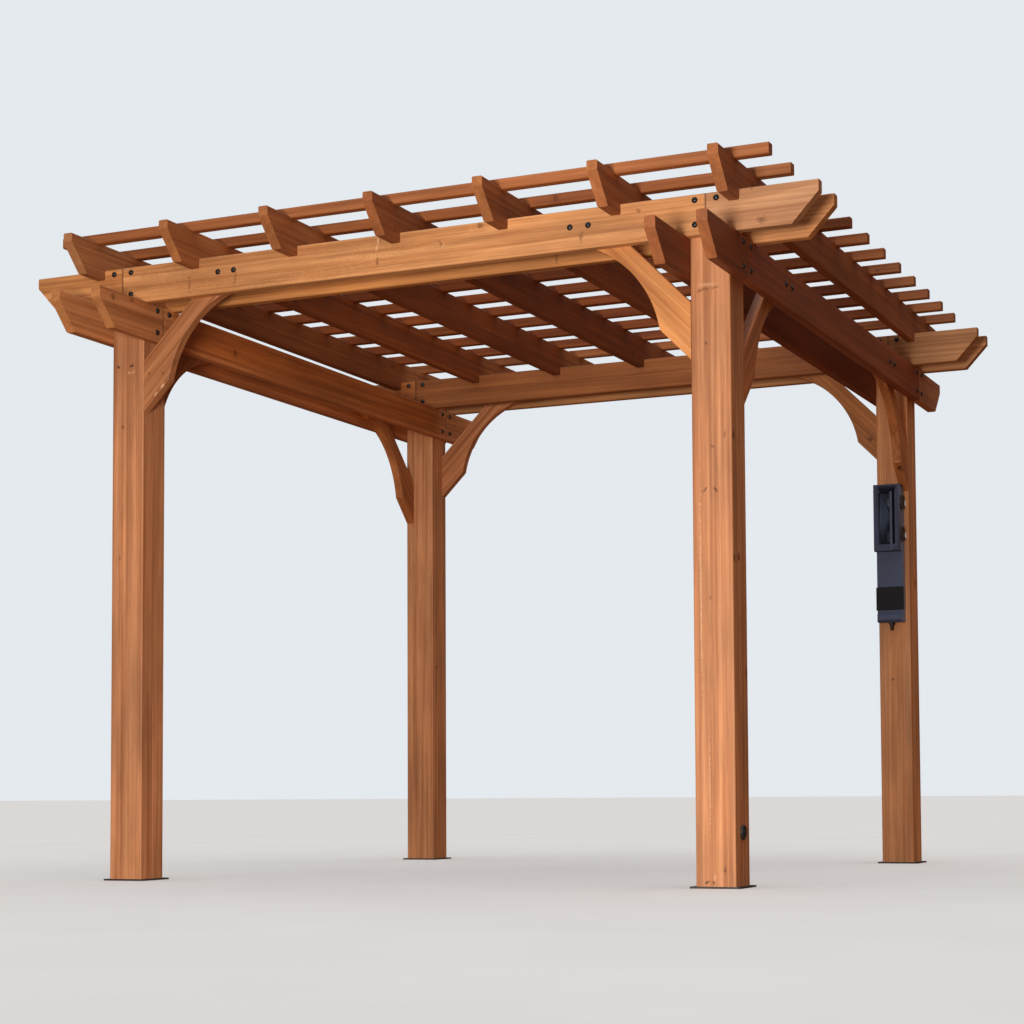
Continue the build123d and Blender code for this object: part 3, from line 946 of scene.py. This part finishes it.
# %% Bolts on every beam
BOLT_ASIDE = 0.038
BOLT_ROWS = (0.035, 0.118)
BRACE_BOLTS_FROM_POST = (0.425, 0.493)
BRACE_BOLT_ROW = 0.079


def bolt_beam(beam, run, across, outward):
    """Bolts on the face of a beam that looks outward. Run and across are the axes along and through it."""
    low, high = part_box(beam)
    face = high[across] if outward[across] > 0 else low[across]
    spots = [(end * POST_AT + aside * BOLT_ASIDE, row)
             for end in (-1, 1) for aside in (-1, 1) for row in BOLT_ROWS]
    if "outer" in beam:
        spots += [(end * (POST_AT - gone), BRACE_BOLT_ROW)
                  for end in (-1, 1) for gone in BRACE_BOLTS_FROM_POST]
    places = []
    for along, row in spots:
        place = [0.0, 0.0, low[2] + row]
        place[run] = along
        place[across] = face
        places.append(place)
    piece = copies(master_bolt, beam + "_bolts", places, outward)
    finish_piece(piece, black_steel)
    return len(places)


bolt_count = 0
for row in ROWS:
    for layer in LAYERS:
        bolt_count += bolt_beam(f"{row}_{layer}_cross_beam", 0, 1, (0, ROWS[row] * LAYERS[layer], 0))
for side in SIDES:
    for layer in LAYERS:
        bolt_count += bolt_beam(f"{side}_{layer}_side_beam", 1, 0, (SIDES[side] * LAYERS[layer], 0, 0))
bpy.data.objects.remove(master_bolt)
print(bolt_count, "bolt heads")

# %% [markdown]
# ## Screws in the roof slats
# Each slat is held down by one screw over every rafter. The heads are small, flush and bronze, and only
# show from above. Again one is modelled and the rest are copies, one joined piece for each slat.

# %% Slat screws
SCREW_RADIUS = 0.0045
SCREW_PROUD = 0.0008
DRIVE_RADIUS = 0.0020


def screw_head():
    """A flat screw head with a sunk drive, standing on z = 0."""
    head = cylinder(18, SCREW_RADIUS, SCREW_PROUD)
    mode("EDIT")
    pick(head, "FACE", faces_up)
    bpy.ops.mesh.inset(thickness=SCREW_RADIUS - DRIVE_RADIUS)
    bpy.ops.mesh.extrude_region_move(TRANSFORM_OT_translate={"value": (0, 0, -SCREW_PROUD * 0.7)})
    bpy.ops.transform.resize(value=(0.7, 0.7, 1.0))
    mode("OBJECT")
    return head


bronze = coated("bronze_screw", (0.20, 0.12, 0.055), gloss=0.38, skin=2500.0, metal=0.8)
master_screw = screw_head()
for slat in slats:
    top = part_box(slat)[1][2]
    places = [(middle_of(rafter).x, middle_of(slat).y, top) for rafter in rafters]
    finish_piece(copies(master_screw, slat + "_screws", places, (0, 0, 1)), bronze)
bpy.data.objects.remove(master_screw)
print(len(slats) * len(rafters), "screws")

# %% [markdown]
# ## Outlets inside the hood
# The hood shelters two outlets on the back of its recess. Each is a small moulded face with rounded
# corners, two upright slots and a round hole, cut with booleans from a bevelled block.

# %% Outlets
OUTLET_WIDTH = 0.034
OUTLET_HEIGHT = 0.044
OUTLET_DEPTH = 0.006
OUTLET_EDGE = 0.006
SLOT_WIDTH = 0.0022
SLOT_HEIGHT = 0.009
SLOT_ASIDE = 0.0064
HOLE_RADIUS = 0.0026
HOOD_BACK = 0.005
OUTLETS_FROM_MIDDLE = 0.075
SLOTS_UP = 0.005
HOLE_DOWN = 0.009


def edge_through(piece, edge):
    """Whether an edge runs from the front of a piece to its back."""
    first, second = (piece.data.vertices[corner].co for corner in edge.vertices)
    return abs((second - first).normalized().y) > 0.9


def outlet(name, middle):
    """One outlet face, its back at the middle's y and its slots to the front."""
    x, y, z = middle
    piece = block((OUTLET_WIDTH, OUTLET_DEPTH, OUTLET_HEIGHT), (x, y - OUTLET_DEPTH / 2, z))
    piece.name = name
    mode("EDIT")
    pick(piece, "EDGE", lambda edge: edge_through(piece, edge))
    bpy.ops.mesh.bevel(offset=OUTLET_EDGE, segments=5)
    mode("OBJECT")
    front = y - OUTLET_DEPTH
    for aside in (-SLOT_ASIDE, SLOT_ASIDE):
        cut(piece, block((SLOT_WIDTH, OUTLET_DEPTH, SLOT_HEIGHT), (x + aside, front, z + SLOTS_UP)))
    cut(piece, cylinder(16, HOLE_RADIUS, OUTLET_DEPTH, (x, front, z - HOLE_DOWN), (math.pi / 2, 0, 0)))
    finish_piece(piece, outlet_plastic)


outlet_plastic = coated("outlet_plastic", (0.010, 0.013, 0.028), gloss=0.40, skin=1500.0, shine=0.3)
hood_low, hood_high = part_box("power_box_hood")
hood_middle = middle_of("power_box_hood")
for level, way in (("upper", 1), ("lower", -1)):
    outlet(f"power_box_{level}_outlet",
           (hood_middle.x, hood_high[1] - HOOD_BACK, hood_middle.z + way * OUTLETS_FROM_MIDDLE))
print("outlets", OUTLETS_FROM_MIDDLE * 2000, "mm apart")

# %% [markdown]
# ## Mouth of the hood
# The ceiling of the recess isn't level: it slopes up to a thin rim in front, and its right end is mitred.
# The solid hood has a level ceiling, so a merged copy of it takes its place, with the mouth cut out. The
# slope could be pushed up in the copy itself, but the thin rim is surer to come out even from a cut. The
# tool is a block with its top back edge pulled down and its top right corner pulled out.

# %% Mouth of the hood
RIM_THICK = 0.006
MOUTH_DEEP = 0.0425
MOUTH_MITRE = 0.010
RECESS_LEFT = 1.1245
RECESS_RIGHT = 1.1995
CEILING = 1.6148
CLEAR = 0.001


def pull(piece, test, by):
    """In edit mode, moves the corners that pass a test."""
    pick(piece, "VERT", lambda corner: test(corner.co))
    bpy.ops.transform.translate(value=by)


front = hood_low[1] - CLEAR
back = hood_low[1] + MOUTH_DEEP
rim_level = hood_high[2] - RIM_THICK
wedge = block((RECESS_RIGHT - RECESS_LEFT, back - front, rim_level - CEILING + CLEAR),
              ((RECESS_LEFT + RECESS_RIGHT) / 2, (front + back) / 2, (rim_level + CEILING - CLEAR) / 2))
mode("EDIT")
pull(wedge, lambda at: at.z > CEILING and at.y > back - CLEAR, (0, 0, CEILING - rim_level))
pull(wedge, lambda at: at.z > CEILING + CLEAR and at.x > RECESS_RIGHT - CLEAR, (MOUTH_MITRE, 0, 0))
mode("OBJECT")

hood = twin(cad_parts["power_box_hood"])
hood.name = "power_box_hood_shell"
mode("EDIT")
bpy.ops.mesh.select_all(action="SELECT")
bpy.ops.mesh.remove_doubles(threshold=0.00001)
mode("OBJECT")
cut(hood, wedge)
smooth(hood, 30)
finish_piece(hood, hood_slate)
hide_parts("power_box_hood")
print("hood with its mouth:", len(hood.data.polygons), "faces")

# %% [markdown]
# Two painted highlights go on the box: three pale bars across the upper outlet stand for light on its face,
# and a small white block behind each side socket stands for a white glint. Both start as blocks. Their edges
# are rounded by a Bevel modifier, which is quicker than bevelling by hand and rounds every edge alike.

# %% Painted highlights: pale bars and white glint blocks
BAR_SIZE = (0.013, 0.0016, 0.0030)
BAR_GAP = 0.0105
GLINT_BLOCK_SIZE = (0.0100, 0.0090, 0.0220)
GLINT_LEVELS = (1.427, 1.567)
BAR_ASIDE = -0.012
GLINT_OUT = 0.0045
SOFT_EDGE = 0.0006


def round_edges(piece, width):
    """Rounds every edge of a piece."""
    only(piece)
    modifier = piece.modifiers.new("round", "BEVEL")
    modifier.width = width
    modifier.segments = 3
    bpy.ops.object.modifier_apply(modifier=modifier.name)
    smooth(piece, 40)


# Painted highlights: pale bars for the light on the upper outlet's face, and white blocks for a white glint
# behind each side socket.
bar_highlight_paint = coated("bar_highlight_paint", (0.16, 0.18, 0.22), gloss=0.30, skin=1500.0, metal=0.6)
glint_white = coated("glint_white", (0.72, 0.73, 0.72), gloss=0.40, skin=800.0, cloudiness=0.05)
bars_at = Vector((hood_middle.x + BAR_ASIDE, hood_high[1] - HOOD_BACK - OUTLET_DEPTH,
                  hood_middle.z + OUTLETS_FROM_MIDDLE))
bars = [block(BAR_SIZE, bars_at + Vector((0, 0, step * BAR_GAP))) for step in (-1, 0, 1)]
glint_blocks = [block(GLINT_BLOCK_SIZE, (hood_high[0] + GLINT_OUT, hood_high[1] - GLINT_BLOCK_SIZE[1] / 2, level))
         for level in GLINT_LEVELS]
for piece in bars + glint_blocks:
    round_edges(piece, SOFT_EDGE)
finish_piece(joined(bars, "power_box_highlight_bars"), bar_highlight_paint)
finish_piece(joined(glint_blocks, "power_box_socket_glints"), glint_white)
print(len(bars), "bars and", len(glint_blocks), "glint_blocks")

# %% [markdown]
# The cap on the right front post isn't a flat disc: it has a raised rim round a dished face, with a small
# button in the middle. It is turned up from one cylinder by insets and extrusions, like a washer on a lathe.

# %% Rim of the post cap
RIM_RADIUS = 0.0225
RIM_HEIGHT = 0.0030
RIM_STEPS = ((0.0035, -0.0022), (0.0080, 0.0000), (0.0020, 0.0014), (0.0030, 0.0008))
RIM_SUNK = 0.0005
RIM_EDGE = 0.0004

rim = cylinder(40, RIM_RADIUS, RIM_HEIGHT)
rim.name = "post_cap_rim"
mode("EDIT")
pick(rim, "FACE", faces_up)
for inward, up in RIM_STEPS:
    bpy.ops.mesh.inset(thickness=inward)
    bpy.ops.mesh.extrude_region_move(TRANSFORM_OT_translate={"value": (0, 0, up)})
mode("OBJECT")
rim.rotation_euler = (0, math.pi / 2, 0)
rim.location = (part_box("post_cap")[1][0] - RIM_SUNK, middle_of("post_cap").y, middle_of("post_cap").z)
settle(rim)
round_edges(rim, RIM_EDGE)
finish_piece(rim, black_nylon)
print("cap rim:", len(rim.data.polygons), "faces")

# %% [markdown]
# ## Floor
# The studio floor is a broad pale sheet. It isn't part of the pergola. It is matt with a slight mottle, so
# that the shadow of the roof lies softly on it. The key light stands low and would burn a white patch into
# the floor, so light linking keeps it off, and the floor glows a little by itself instead.
# A pale floor would also light the roof from below and shine in its undersides, so its bounce is switched
# off, and the sky's glow from below stands in for it.

# %% Floor
FLOOR_SIZE = 160.0
FLOOR_COLOUR = (0.84, 0.84, 0.83, 1.0)
FLOOR_GLOW = 0.16

bpy.ops.mesh.primitive_plane_add(size=FLOOR_SIZE)
floor = bpy.context.active_object
floor.name = "studio_floor"
floor_paint, tree, shader = new_material("floor_paint")
mottle = noise(tree, put(tree, "TexCoord").outputs["Object"], (1.5, 1.5, 1.5), detail=4.0)[0]
mottled = shaded(tree, FLOOR_COLOUR, spread(tree, mottle, 0.94, 1.06))
fill(tree, shader, {"Base Color": mottled, "Roughness": 0.9, "Specular IOR Level": 0.2,
                    "Emission Color": FLOOR_COLOUR, "Emission Strength": FLOOR_GLOW})
floor.data.materials.append(floor_paint)
floor.visible_diffuse = False
floor.visible_glossy = False
floor.visible_shadow = False
sky_lit = bpy.data.collections.new("lit_by_the_sky_only")
sky_lit.objects.link(floor)
key.light_linking.receiver_collection = sky_lit
sky_lit.collection_objects[0].light_linking.link_state = "EXCLUDE"
print("floor", FLOOR_SIZE, "m square")
